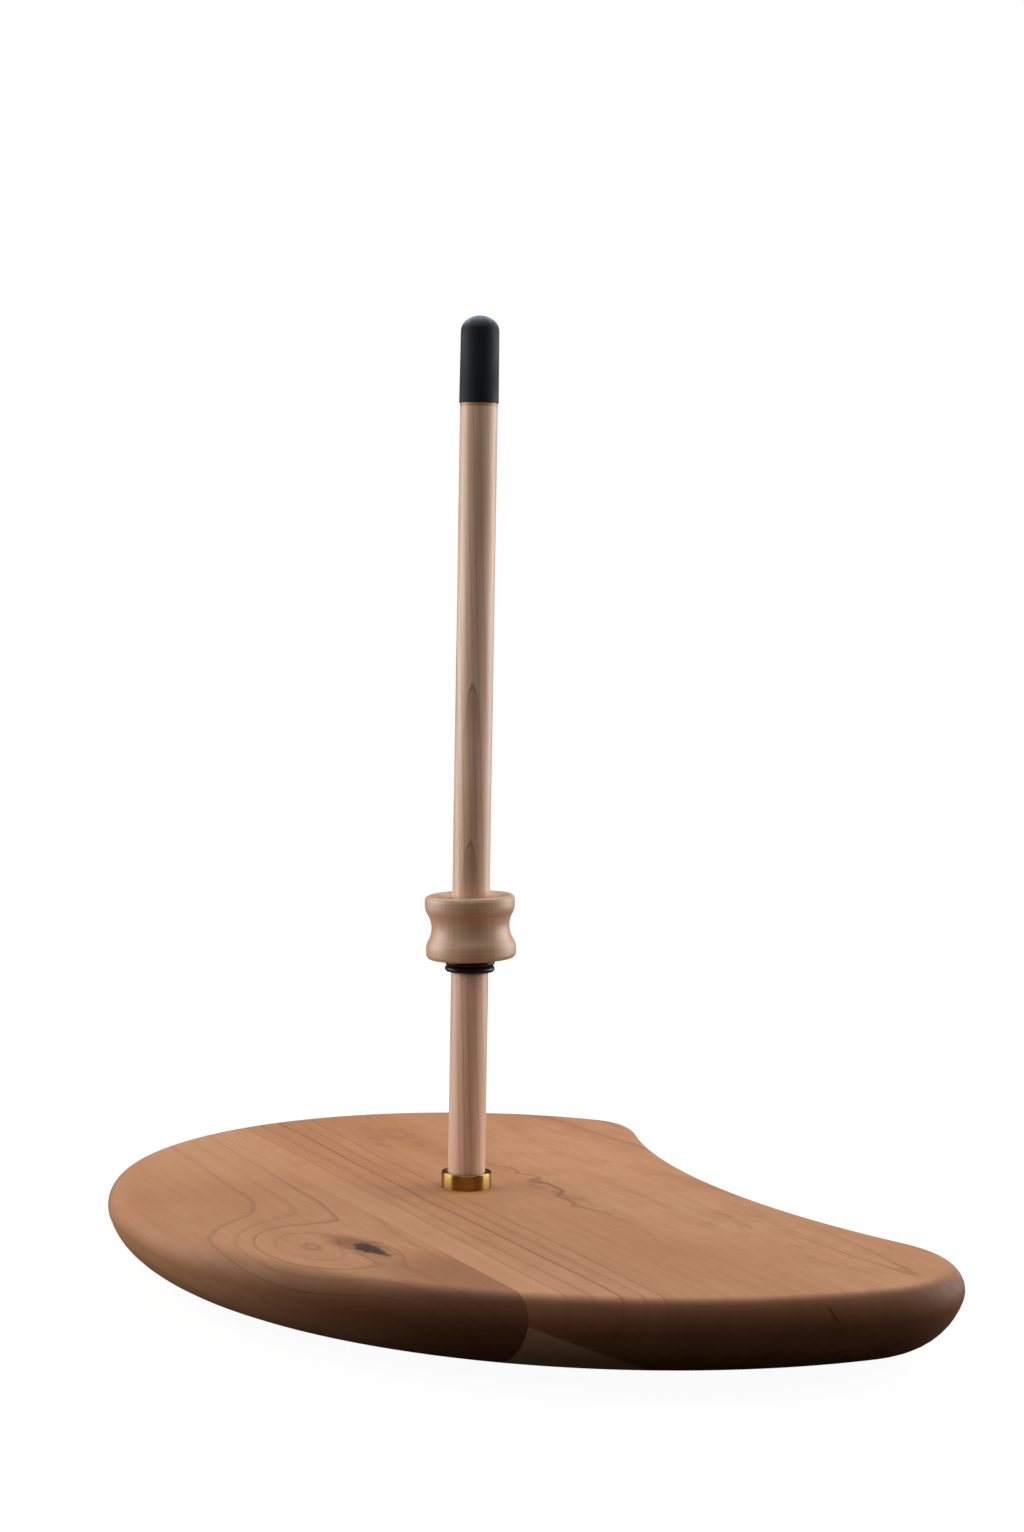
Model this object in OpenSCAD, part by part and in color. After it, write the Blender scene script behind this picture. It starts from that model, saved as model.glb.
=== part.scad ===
// Free-standing paper towel holder: an edge-glued cherry base shaped like a comma, a maple post with
// a rubber cap, and a turned maple spool on two rubber rings that centres the core of the roll.
// The origin is on the post's axis at the worktop. +X runs to the right tip's side, +Y away from the
// front edge, +Z up the post.

/* [Base board] */
// Thickness of the board
board_t = 32; // [27:0.5:36]
// Radius of the round that starts at the top face
top_round = 9; // [7:0.5:11]
// Degrees that this round carries on below the board's widest line
under_turn = 18; // [10:1:25]
// Radius of the far and left side
far_arc_r = 155; // [148:1:160]
// Centre of that arc, to the right of the post
far_arc_x = 1; // [-4:1:6]
// Centre of that arc, beyond the post
far_arc_y = 16; // [10:1:22]
// Radius of the long front side
front_arc_r = 228; // [215:1:240]
// Heading from the far arc's centre to the front arc's centre
front_arc_turn = 22; // [18:1:28]
// Radius of the hollow bite in the right side
bite_r = 352; // [340:1:360]
// Centre of the bite, to the right of the post
bite_x = 431; // [425:1:440]
// Centre of the bite, beyond the post
bite_y = 163; // [155:1:170]
// How much wider than the rounded edge the far tip is, in plan
far_tip_more = 1.5; // [0.5:0.5:6]
// Radius of the right tip in plan
right_tip_r = 50; // [44:1:56]
// Heading of the grain and of the glue line
grain_turn = -63; // [-70:1:-56]
// Distance of the glue line from the post's axis
glue_line_off = 59; // [50:1:68]

/* [Post and cap] */
// Diameter of the dowel
post_d = 15.875; // [15:0.125:16.5]
// Height of the cap's lower edge above the board
post_h = 333; // [300:1:340]
// Depth of the post's foot in the board
socket_depth = 18; // [14:1:19]
// How much wider than the post the cap is at its open end
cap_low_over = 0.825; // [0.7:0.025:1.1]
// How much wider than the post the cap is below its dome
cap_high_over = 0.325; // [0.1:0.025:0.5]
// Height of the cap
cap_h = 36.6; // [30:0.2:40]
// Radius of the dome's crown, in half-widths of the cap
cap_crown_share = 1.17; // [1.1:0.01:1.3]
// Radius of the dome's shoulder, in half-widths of the cap
cap_shoulder_share = 0.74; // [0.6:0.01:0.85]
// Thickness of the cap's side wall
cap_wall = 1.5; // [1.2:0.1:1.8]
// Depth of the bore in the cap
cap_bore_h = 28; // [24:1:29]

/* [Collar] */
// How much wider than the post the bore of the brass ring is
collar_play = 1.925; // [1.3:0.025:2.5]
// Thickness of the brass ring's wall
collar_wall = 1.75; // [1.4:0.05:2.2]
// Height of the ring above the board
collar_h = 6.6; // [5:0.1:8]
// Depth of the ring in the board
collar_seat = 2; // [1:0.5:3]
// Chamfer at the ring's outer top edge
collar_chamfer = 0.35; // [0.2:0.05:0.6]

/* [Spool and rings] */
// Thickness of the rubber of a ring
ring_t = 2.62; // [2.4:0.02:3]
// Height of the lower ring's centre above the board
ring_h = 94; // [80:1:110]
// Largest diameter of the spool
spool_d = 38.4; // [37:0.1:39]
// Depth of the spool's waist on each side
spool_depth = 2.6; // [2:0.1:3.6]
// Height of the spool
spool_h = 27; // [25:0.5:30]
// How much wider than the post the spool's bore is
spool_play = 1.525; // [1:0.025:2]
// Radius of the hollow at the waist
spool_cove_r = 11; // [9:0.5:12]
// Height of the parallel band of each rim
spool_land = 2; // [1:0.25:3]
// Radius of the rounded end edges
spool_round = 2.2; // [1.5:0.1:2.6]
// Depth of the dished top face
spool_dish = 1; // [0.6:0.1:1.4]

/* [Feet and screws] */
// Height of a rubber foot
foot_h = 5; // [4.5:0.5:7]
// Diameter of a foot at the board
foot_d = 18; // [16:0.5:20]
// Diameter of a foot at the worktop
foot_low_d = 16; // [14:0.5:18]
// Distance from the board's outline to a foot's centre
foot_inset = 50; // [42:1:56]
// Heading of the left foot from the far arc's centre
foot_left_turn = 193; // [180:1:205]
// Heading of the far foot from the far arc's centre
foot_far_turn = 70; // [60:1:80]
// Heading of the front foot from the front arc's centre
foot_front_turn = 258; // [254:1:264]
// Depth of the counterbore for the post's screw
counterbore_h = 6; // [5:0.5:7]
// Diameter of the counterbore for the post's screw
counterbore_d = 17; // [16:0.5:18]

/* [Hidden] */
$fn = 120;

// Colours
cherry = [0.62, 0.38, 0.25];
maple = [0.72, 0.56, 0.44];
rubber = [0.07, 0.07, 0.08];
brass = [0.78, 0.60, 0.25];
steel = [0.70, 0.71, 0.73];

// Clearances and small amounts
fit_gap = 0.04;          // radial gap of a seated piece
ring_grip_gap = 0.05;    // radial gap between a ring and the post it slides on
stack_gap = 0.05;        // gap between pieces that rest on each other and move apart
cap_headroom = 0.5;      // air between the post's end and the roof of the cap's bore
cut_over = 1;            // how far a cutter stands past the face that it opens
far_reach = 600;         // longer than the board in any direction

// Levels
board_low = foot_h;
board_top = foot_h + board_t;
shoulder_z = board_top + post_h;

// The board's rim in section: a nose arc from the top face, then a wider arc in to the underside
under_sin = sin(under_turn);
under_r = (board_t - top_round * (1 + under_sin)) / (1 - under_sin);
flat_inset = top_round + (under_r - top_round) * cos(under_turn);

// The board's outline: arc centres and the tips that join them
far_tip_r = flat_inset + far_tip_more;
function heading(p, q) = atan2(q[1] - p[1], q[0] - p[0]);
function along(p, turn, d) = p + d * [cos(turn), sin(turn)];
function crossing(p, pr, q, qr, side) =
    let (
        gap = norm(q - p),
        ahead = (pr * pr - qr * qr + gap * gap) / (2 * gap),
        aside = sqrt(pr * pr - ahead * ahead),
        u = (q - p) / gap
    )
    p + ahead * u + side * aside * [-u[1], u[0]];

far_at = [far_arc_x, far_arc_y];
front_at = along(far_at, front_arc_turn, front_arc_r - far_arc_r);
bite_at = [bite_x, bite_y];
far_tip_at = crossing(far_at, far_arc_r - far_tip_r, bite_at, bite_r + far_tip_r, 1);
right_tip_at = crossing(front_at, front_arc_r - right_tip_r, bite_at, bite_r + right_tip_r, -1);

// Headings at which one arc of the outline gives way to the next
seam_turn = front_arc_turn + 180;
right_tip_from = heading(front_at, right_tip_at);
right_tip_to = heading(right_tip_at, bite_at);
bite_from = heading(bite_at, right_tip_at);
bite_to = heading(bite_at, far_tip_at);
far_tip_from = heading(far_tip_at, bite_at);
far_tip_to = heading(far_at, far_tip_at);
long_arc_step = 4;       // degrees between the points of the long arcs
short_arc_step = 9;      // degrees between the points of the tips

// Post and what is on it
post_r = post_d / 2;
collar_bore_r = post_r + collar_play / 2;
collar_r = collar_bore_r + collar_wall;
cap_low_r = post_r + cap_low_over / 2;
cap_high_r = post_r + cap_high_over / 2;
cap_crown_r = cap_crown_share * cap_high_r;
cap_shoulder_r = cap_shoulder_share * cap_high_r;
tenon_r = cap_high_r - cap_wall;
tenon_h = cap_bore_h - cap_headroom;
ring_r = post_r + ring_grip_gap + ring_t / 2;
ring_low_z = board_top + ring_h;
ring_up_z = ring_low_z + ring_t + stack_gap;
spool_z = ring_up_z + ring_t / 2 + stack_gap;

// Spool section: the cove and the swell beside it are tangent arcs that span the waist's depth
spool_r = spool_d / 2;
spool_bore_r = post_r + spool_play / 2;
swell_h = spool_h / 2 - spool_round - spool_land;
arcs_r = (spool_depth * spool_depth + swell_h * swell_h) / (2 * spool_depth);
swell_r = arcs_r - spool_cove_r;
swell_start = swell_h * spool_cove_r / arcs_r;
dish_r = spool_r - 2 * spool_round;

// Screws and washers
post_screw_r = 2.4;
post_screw_head_r = 4.6;
post_screw_head_h = 3;
post_screw_l = 36;
post_washer_r = 7.5;
post_washer_t = 1.2;
foot_screw_r = 1.7;
foot_screw_head_r = 3.3;
foot_screw_head_h = 1.7;
foot_screw_l = 14;
foot_washer_r = 4.5;
foot_washer_t = 0.8;
foot_recess_r = 4.8;
foot_floor = 2;
screw_hole_gap = 0.25;
screw_tip = 2;
drive_w = 0.9;           // width of a slot of the cross recess
drive_depth_share = 0.6; // of the head's height
head_taper = 0.8;        // a pan head's flat face, as a share of its width

post_seat_z = board_low + counterbore_h;
foot_seat_z = foot_h - foot_floor;

foot_left_at = along(far_at, foot_left_turn, far_arc_r - foot_inset);
foot_far_at = along(far_at, foot_far_turn, far_arc_r - foot_inset);
foot_front_at = along(front_at, foot_front_turn, front_arc_r - foot_inset);
foot_right_at = right_tip_at;

// ---------------------------------------------------------------- helpers

// Points [place, outward normal] of one arc of the outline, without its last point;
// side is -1 on a hollow arc
function arc(at, r, from, to, step, side = 1) =
    let (count = ceil(abs(to - from) / step))
    [
        for (i = [0:count - 1])
            let (turn = from + (to - from) * i / count)
            [along(at, turn, r), side * [cos(turn), sin(turn)]]
    ];

outline = concat(
    arc(front_at, front_arc_r, seam_turn, right_tip_from + 360, long_arc_step),
    arc(right_tip_at, right_tip_r, right_tip_from, right_tip_to, short_arc_step),
    arc(bite_at, bite_r, bite_from + 360, bite_to + 360, long_arc_step / 2, -1),
    arc(far_tip_at, far_tip_r, far_tip_from, far_tip_to, short_arc_step),
    arc(far_at, far_arc_r, far_tip_to, seam_turn, long_arc_step)
);

// The rim in section as [inset, height] from the top face down to the underside
rim_step = 13;           // degrees between the rim's levels
rim = [
    for (i = [0:ceil((90 + under_turn) / rim_step) - 1])
        let (turn = 90 - i * (90 + under_turn) / ceil((90 + under_turn) / rim_step))
        [top_round * (1 - cos(turn)), board_t - top_round * (1 - sin(turn))],
    for (i = [0:ceil((90 - under_turn) / rim_step)])
        let (turn = -under_turn - i * (90 - under_turn) / ceil((90 - under_turn) / rim_step))
        [flat_inset - under_r * cos(turn), under_r * (1 + sin(turn))]
];

// The whole board, before it is drilled: the rim's section carried round the outline
module board_blank() {
    n = len(outline);
    last = len(rim) - 1;
    points = [
        for (level = rim)
            for (p = outline)
                concat(p[0] - level[0] * p[1], level[1] + board_low)
    ];
    top_face = [0, for (j = [n - 1:-1:1]) j];
    under_face = [for (j = [0:n - 1]) last * n + j];
    side_faces = [
        for (i = [0:last - 1])
            for (j = [0:n - 1])
                let (
                    upper = i * n + j,
                    upper_next = i * n + (j + 1) % n
                )
                each [[upper, upper_next, upper_next + n], [upper, upper_next + n, upper + n]]
    ];
    polyhedron(points = points, faces = concat([top_face, under_face], side_faces));
}

// Everything on the left of the glue line
module left_of_glue_line() {
    rotate([0, 0, grain_turn])
        translate([-far_reach, -far_reach - glue_line_off, -cut_over])
            cube([2 * far_reach, far_reach, board_top + 2 * cut_over]);
}

// Pilot hole for a foot's screw
module foot_pilot(at) {
    translate([at[0], at[1], board_low - cut_over])
        cylinder(r = foot_screw_r, h = cut_over + foot_screw_l - foot_floor);
}

// A pan-head screw, head down, whose head bears at z = 0 and whose point is up
module screw(r, l, head_r, head_h) {
    difference() {
        union() {
            cylinder(r = r, h = l - screw_tip);
            translate([0, 0, l - screw_tip])
                cylinder(r1 = r, r2 = r / 4, h = screw_tip);
            translate([0, 0, -head_h / 2])
                cylinder(r = head_r, h = head_h / 2);
            translate([0, 0, -head_h])
                cylinder(r1 = head_taper * head_r, r2 = head_r, h = head_h / 2);
        }
        for (turn = [0, 90])
            rotate([0, 0, turn])
                translate([-head_r / 2, -drive_w / 2, -head_h - cut_over])
                    cube([head_r, drive_w, cut_over + drive_depth_share * head_h]);
    }
}

// A flat washer that lies under z = 0
module washer(r, hole_r, t) {
    translate([0, 0, -t])
        difference() {
            cylinder(r = r, h = t);
            translate([0, 0, -cut_over])
                cylinder(r = hole_r, h = t + 2 * cut_over);
        }
}

// Half of the spool's section, from its middle up to an end face
module spool_half_section(dish) {
    difference() {
        translate([spool_bore_r, 0])
            square([spool_r - spool_bore_r, spool_h / 2]);
        translate([spool_r - spool_depth + spool_cove_r, 0])
            circle(r = spool_cove_r);
        difference() {
            translate([spool_r - swell_r, swell_start])
                square([swell_r + cut_over, swell_h - swell_start]);
            translate([spool_r - swell_r, swell_h])
                circle(r = swell_r);
        }
        difference() {
            translate([spool_r - spool_round, spool_h / 2 - spool_round])
                square(spool_round + cut_over);
            translate([spool_r - spool_round, spool_h / 2 - spool_round])
                circle(r = spool_round);
        }
        polygon([
            [spool_bore_r - cut_over, spool_h / 2 - dish],
            [spool_bore_r + dish, spool_h / 2 - dish],
            [dish_r, spool_h / 2],
            [dish_r, spool_h / 2 + cut_over],
            [spool_bore_r - cut_over, spool_h / 2 + cut_over]
        ]);
    }
}

// A rubber ring on the post with its centre at height z
module stop_ring(z) {
    color(rubber)
        translate([0, 0, z])
            rotate_extrude()
                translate([ring_r, 0])
                    circle(r = ring_t / 2);
}

// ---------------------------------------------------------------- sub-parts

module base_board_left() {
    color(cherry)
        difference() {
            intersection() {
                board_blank();
                left_of_glue_line();
            }
            foot_pilot(foot_left_at);
        }
}

module base_board_right() {
    color(cherry)
        difference() {
            board_blank();
            left_of_glue_line();
            for (at = [foot_far_at, foot_front_at, foot_right_at])
                foot_pilot(at);
            translate([0, 0, board_top - socket_depth])
                cylinder(r = post_r + fit_gap, h = socket_depth + cut_over);
            translate([0, 0, board_top - collar_seat])
                cylinder(r = collar_r + fit_gap, h = collar_seat + cut_over);
            translate([0, 0, board_low - cut_over])
                cylinder(r = post_screw_r + screw_hole_gap, h = board_t);
            translate([0, 0, board_low - cut_over])
                cylinder(r = counterbore_d / 2, h = counterbore_h + cut_over);
        }
}

module post() {
    color(maple)
        difference() {
            union() {
                translate([0, 0, board_top - socket_depth])
                    cylinder(r = post_r, h = socket_depth + post_h);
                translate([0, 0, shoulder_z])
                    cylinder(r = tenon_r, h = tenon_h);
            }
            translate([0, 0, board_low])
                cylinder(r = post_screw_r, h = counterbore_h + post_screw_l);
        }
}

module post_collar() {
    color(brass)
        translate([0, 0, board_top - collar_seat])
            difference() {
                union() {
                    cylinder(r = collar_r, h = collar_seat + collar_h - collar_chamfer);
                    translate([0, 0, collar_seat + collar_h - collar_chamfer])
                        cylinder(r1 = collar_r, r2 = collar_r - collar_chamfer, h = collar_chamfer);
                }
                translate([0, 0, -cut_over])
                    cylinder(r = collar_bore_r, h = collar_seat + collar_h + 2 * cut_over);
            }
}

module post_cap() {
    crown_at = [0, cap_h - cap_crown_r];
    shoulder_x = cap_high_r - cap_shoulder_r;
    centres_gap = cap_crown_r - cap_shoulder_r;
    shoulder_at = [shoulder_x, crown_at[1] + sqrt(pow(centres_gap, 2) - pow(shoulder_x, 2))];
    blend_turn = heading(crown_at, shoulder_at);
    wedge = 3 * cap_crown_r;
    color(rubber)
        translate([0, 0, shoulder_z])
            difference() {
                rotate_extrude() {
                    polygon([[0, 0], [cap_low_r, 0], [cap_high_r, shoulder_at[1]], [0, shoulder_at[1]]]);
                    intersection() {
                        translate(shoulder_at)
                            circle(r = cap_shoulder_r);
                        polygon([
                            shoulder_at,
                            along(shoulder_at, 0, wedge),
                            along(shoulder_at, blend_turn, wedge)
                        ]);
                    }
                    intersection() {
                        translate(crown_at)
                            circle(r = cap_crown_r);
                        polygon([
                            crown_at,
                            along(crown_at, blend_turn, wedge),
                            along(crown_at, 90, wedge)
                        ]);
                    }
                }
                translate([0, 0, -cut_over])
                    cylinder(r = tenon_r + fit_gap, h = cap_bore_h + cut_over);
            }
}

module post_screw() {
    color(steel)
        translate([0, 0, post_seat_z - post_washer_t])
            screw(post_screw_r, post_screw_l, post_screw_head_r, post_screw_head_h);
}

module post_washer() {
    color(steel)
        translate([0, 0, post_seat_z])
            washer(post_washer_r, post_screw_r + screw_hole_gap, post_washer_t);
}

module stop_ring_lower() {
    stop_ring(ring_low_z);
}

module stop_ring_upper() {
    stop_ring(ring_up_z);
}

module spool() {
    color(maple)
        translate([0, 0, spool_z + spool_h / 2])
            rotate_extrude() {
                spool_half_section(spool_dish);
                mirror([0, 1])
                    spool_half_section(0);
            }
}

module foot(at) {
    color(rubber)
        translate([at[0], at[1], 0])
            difference() {
                cylinder(r1 = foot_low_d / 2, r2 = foot_d / 2, h = foot_h);
                translate([0, 0, -cut_over])
                    cylinder(r = foot_recess_r, h = cut_over + foot_seat_z);
                cylinder(r = foot_screw_r + screw_hole_gap, h = foot_h + cut_over);
            }
}

module foot_washer(at) {
    color(steel)
        translate([at[0], at[1], foot_seat_z])
            washer(foot_washer_r, foot_screw_r + screw_hole_gap, foot_washer_t);
}

module foot_screw(at) {
    color(steel)
        translate([at[0], at[1], foot_seat_z - foot_washer_t])
            screw(foot_screw_r, foot_screw_l, foot_screw_head_r, foot_screw_head_h);
}

base_board_left();
base_board_right();
post();
post_collar();
post_cap();
post_screw();
post_washer();
stop_ring_lower();
stop_ring_upper();
spool();
foot(foot_left_at);  // foot_left
foot(foot_far_at);  // foot_far
foot(foot_front_at);  // foot_front
foot(foot_right_at);  // foot_right
foot_washer(foot_left_at);  // foot_washer_left
foot_washer(foot_far_at);  // foot_washer_far
foot_washer(foot_front_at);  // foot_washer_front
foot_washer(foot_right_at);  // foot_washer_right
foot_screw(foot_left_at);  // foot_screw_left
foot_screw(foot_far_at);  // foot_screw_far
foot_screw(foot_front_at);  // foot_screw_front
foot_screw(foot_right_at);  // foot_screw_right
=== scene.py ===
# %% [markdown]
# # A paper towel holder in cherry and maple
# The holder is an edge-glued cherry base, a maple post with a rubber cap, a brass ring at its foot, and a
# loose turned spool that stands on two rubber rings and centres the roll. The measured frame comes
# first. The pieces that need a softer or smoother shape than the frame are then modelled round it, as by
# hand, and every surface gets a finish of its own.

# %% Load the frame
import math

import bpy
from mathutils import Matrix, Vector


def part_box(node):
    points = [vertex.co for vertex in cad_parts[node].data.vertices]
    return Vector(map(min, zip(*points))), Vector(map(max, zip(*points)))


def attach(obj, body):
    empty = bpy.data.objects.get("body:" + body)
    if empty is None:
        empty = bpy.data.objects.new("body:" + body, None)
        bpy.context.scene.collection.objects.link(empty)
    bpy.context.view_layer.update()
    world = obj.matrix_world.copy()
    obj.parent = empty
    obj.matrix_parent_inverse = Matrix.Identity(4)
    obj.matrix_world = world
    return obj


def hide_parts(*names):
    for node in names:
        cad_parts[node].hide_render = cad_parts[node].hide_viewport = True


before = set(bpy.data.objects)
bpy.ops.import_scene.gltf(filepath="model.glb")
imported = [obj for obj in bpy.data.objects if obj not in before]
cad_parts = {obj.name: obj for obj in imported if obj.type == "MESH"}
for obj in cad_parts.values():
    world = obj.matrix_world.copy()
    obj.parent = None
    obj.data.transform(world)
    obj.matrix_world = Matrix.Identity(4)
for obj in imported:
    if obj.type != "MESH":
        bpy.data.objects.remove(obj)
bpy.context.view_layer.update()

# %% [markdown]
# ## Sizes that several pieces share
# Everything is in metres. The origin is on the post's axis at the worktop, +Y runs away from the long
# front edge and +Z up the post. Heights are read from the frame, so a piece goes where the frame says.

# %% Shared sizes
MM = 0.001
board_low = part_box("base_board_right")[0].z
board_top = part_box("base_board_right")[1].z
shoulder_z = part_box("post_cap")[0].z
post_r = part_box("post")[1].x
spool_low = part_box("spool")[0].z
spool_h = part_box("spool")[1].z - spool_low
print("board", board_low, board_top, "shoulder", shoulder_z, "post radius", post_r, "spool", spool_low)

# %% [markdown]
# ## The camera
# The holder is looked at from the front, a little above the spool, from just over a metre away. The camera
# tips down a few degrees and is turned a degree about its own line of sight, as a hand-held one is.

# %% Camera
from mathutils import Matrix, Vector

lens = bpy.data.cameras.new("camera")
lens.sensor_fit = "VERTICAL"
lens.sensor_height = 36
lens.lens = 63.45
lens.clip_start = 0.05
camera = bpy.data.objects.new("camera", lens)
bpy.context.scene.collection.objects.link(camera)
camera_at = Vector((0.0165, -1.1419, 0.292))
tip_down, roll = math.radians(3.73), math.radians(0.985)
camera.matrix_world = (
    Matrix.Translation(camera_at)
    @ Matrix.Rotation(math.pi / 2 - tip_down, 4, "X")
    @ Matrix.Rotation(roll, 4, "Z")
)
bpy.context.scene.camera = camera
bpy.context.scene.view_settings.view_transform = "Standard"
print("camera at", tuple(round(v, 3) for v in camera_at))

# %% [markdown]
# ## Hands for the work
# Operators act on whatever is selected, so each piece starts by clearing the selection. A turned or moulded
# piece starts as one point of its section: the point is extruded along straight lines and spun along arcs,
# and the finished section is spun about the piece's axis, just as a lathe would make it.


# %% Helpers for shaping
DOUBLES = 0.003 * MM


def put_down_tools():
    """Leaves edit mode and selects nothing."""
    if bpy.context.object and bpy.context.object.mode == "EDIT":
        bpy.ops.object.mode_set(mode="OBJECT")
    bpy.ops.object.select_all(action="DESELECT")


def pick(piece):
    put_down_tools()
    piece.select_set(True)
    bpy.context.view_layer.objects.active = piece


def named(name):
    piece = bpy.context.object
    piece.name = piece.data.name = name
    return piece


# %% Helpers for drawing a section
def first_point(name, x, y, z):
    """A mesh of one point, left selected in edit mode."""
    put_down_tools()
    bpy.ops.mesh.primitive_plane_add(size=MM)
    piece = named(name)
    bpy.ops.object.mode_set(mode="EDIT")
    bpy.ops.mesh.select_mode(type="VERT")
    bpy.ops.mesh.select_all(action="SELECT")
    bpy.ops.mesh.merge(type="CENTER")
    bpy.ops.transform.translate(value=(x, y, z))
    return piece


def straight(x, y, z):
    """Extrudes what is selected by this much."""
    bpy.ops.mesh.extrude_region_move(TRANSFORM_OT_translate={"value": (x, y, z)})


def sweep(centre, axis, degrees, steps):
    """Spins what is selected round the centre, right-handed about the axis."""
    bpy.ops.mesh.spin(steps=steps, angle=-math.radians(degrees), center=centre, axis=axis)


def section_arc(r, z, degrees, steps):
    """Carries a section's last point round (r, z), positive from outwards to upwards."""
    sweep((r, 0, z), (0, -1, 0), degrees, steps)


# %% Helpers for closing and softening
def close_skin():
    """Joins doubled points and turns every face outwards, in edit mode."""
    bpy.ops.mesh.select_all(action="SELECT")
    bpy.ops.mesh.remove_doubles(threshold=DOUBLES)
    bpy.ops.mesh.normals_make_consistent(inside=False)


def smooth(piece, degrees=35):
    """Shades a piece softly, with a crease where faces meet at more than the angle."""
    pick(piece)
    bpy.ops.object.shade_smooth_by_angle(angle=math.radians(degrees))


def turn_on_lathe(segments):
    """Spins the section that is being drawn once round the upright axis and closes it."""
    bpy.ops.mesh.select_all(action="SELECT")
    sweep((0, 0, 0), (0, 0, 1), 360, segments)
    close_skin()
    bpy.ops.object.mode_set(mode="OBJECT")


def soften_edges(piece, width, segments=2, degrees=35):
    """Bevels every edge sharper than the angle, with a modifier that is applied."""
    pick(piece)
    bpy.ops.object.modifier_add(type="BEVEL")
    bevel = piece.modifiers[-1]
    bevel.width = width
    bevel.segments = segments
    bevel.limit_method = "ANGLE"
    bevel.angle_limit = math.radians(degrees)
    bevel.harden_normals = False
    bpy.ops.object.modifier_apply(modifier=bevel.name)


# %% Helpers for picking faces and for measuring
def select_faces(piece, test):
    """Selects the faces whose centre and normal pass the test, and goes to edit mode."""
    pick(piece)
    bpy.ops.object.mode_set(mode="EDIT")
    bpy.ops.mesh.select_mode(type="FACE")
    bpy.ops.mesh.select_all(action="DESELECT")
    bpy.ops.object.mode_set(mode="OBJECT")
    for face in piece.data.polygons:
        face.select = test(face.center, face.normal)
    count = sum(face.select for face in piece.data.polygons)
    bpy.ops.object.mode_set(mode="EDIT")
    return count


def report(piece):
    size = piece.dimensions / MM
    print(f"{piece.name}: {len(piece.data.polygons)} faces, {size.x:.1f} x {size.y:.1f} x {size.z:.1f} mm")


# %% [markdown]
# ## The base board
# The real board is sawn to a comma-shaped outline and its rim is rounded with a cutter: a small round at
# the top that rolls on into a wide, under-cut round below. A cutter that follows the outline is exactly a
# spin, so the rim's section is carried round the centre of each arc in turn: the long front edge, the
# right tip, the hollow bite, the far tip and the round left side. The top and the underside are then
# filled. A box with bevels could not give the rim that changes tilt so smoothly.

# %% The outline's arcs
board_t = board_top - board_low
top_round = 9 * MM
under_turn = 18
under_sin = math.sin(math.radians(under_turn))
under_r = (board_t - top_round * (1 + under_sin)) / (1 - under_sin)
flat_inset = top_round + (under_r - top_round) * math.cos(math.radians(under_turn))


def along(start, turn, distance):
    """The point at this distance from the start, in the direction of a turn in degrees."""
    turn = math.radians(turn)
    return Vector((start[0] + distance * math.cos(turn), start[1] + distance * math.sin(turn)))


def heading(start, end):
    return math.degrees(math.atan2(end[1] - start[1], end[0] - start[0]))


def crossing(a, a_r, b, b_r, side):
    """Where two circles cross; the side picks one of the two points."""
    gap = b - a
    ahead = (a_r**2 - b_r**2 + gap.length_squared) / (2 * gap.length)
    aside = math.sqrt(a_r**2 - ahead**2)
    unit = gap.normalized()
    return a + ahead * unit + side * aside * Vector((-unit.y, unit.x))


far_r, front_r, bite_r, right_tip_r = 155 * MM, 228 * MM, 352 * MM, 50 * MM
far_tip_r = flat_inset + 1.5 * MM
front_turn = 22
far_at = Vector((1, 16)) * MM
front_at = along(far_at, front_turn, front_r - far_r)
bite_at = Vector((431, 163)) * MM
far_tip_at = crossing(far_at, far_r - far_tip_r, bite_at, bite_r + far_tip_r, 1)
right_tip_at = crossing(front_at, front_r - right_tip_r, bite_at, bite_r + right_tip_r, -1)
print("tips at", [round(v, 4) for v in (*far_tip_at, *right_tip_at)])

# %% Carry the rim's section round the outline
UP = (0, 0, 1)
top_steps, under_steps = 14, 11
seam_turn = front_turn + 180
start = along(front_at, seam_turn, front_r - top_round)
outwards = along((0, 0), seam_turn, 1)
tangent = (outwards.y, -outwards.x, 0)
blank = first_point("cherry_board", start.x, start.y, board_top)
nose_at = (start.x, start.y, board_top - top_round)
sweep(nose_at, tangent, -(90 + under_turn), top_steps)
under_at = along(front_at, seam_turn, front_r - flat_inset)
sweep((under_at.x, under_at.y, board_low + under_r), tangent, -(90 - under_turn), under_steps)
bpy.ops.mesh.select_all(action="SELECT")
turns = (
    (front_at, heading(front_at, right_tip_at) + 360 - seam_turn, 72),
    (right_tip_at, heading(right_tip_at, bite_at) - heading(front_at, right_tip_at), 22),
    (bite_at, heading(bite_at, far_tip_at) - heading(bite_at, right_tip_at), 46),
    (far_tip_at, heading(far_at, far_tip_at) - heading(far_tip_at, bite_at), 20),
    (far_at, seam_turn - heading(far_at, far_tip_at), 90),
)
for centre, degrees, steps in turns:
    degrees = (degrees + 540) % 360 - 180
    sweep((centre.x, centre.y, 0), UP, degrees, steps)
    print(f"arc of {degrees:.1f} degrees in {steps} steps")
close_skin()

# %% [markdown]
# The two open ends of the rim are filled, and a narrow loop is inset inside each flat face. That loop keeps
# the soft shading of the round from creeping across the flat.

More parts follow.
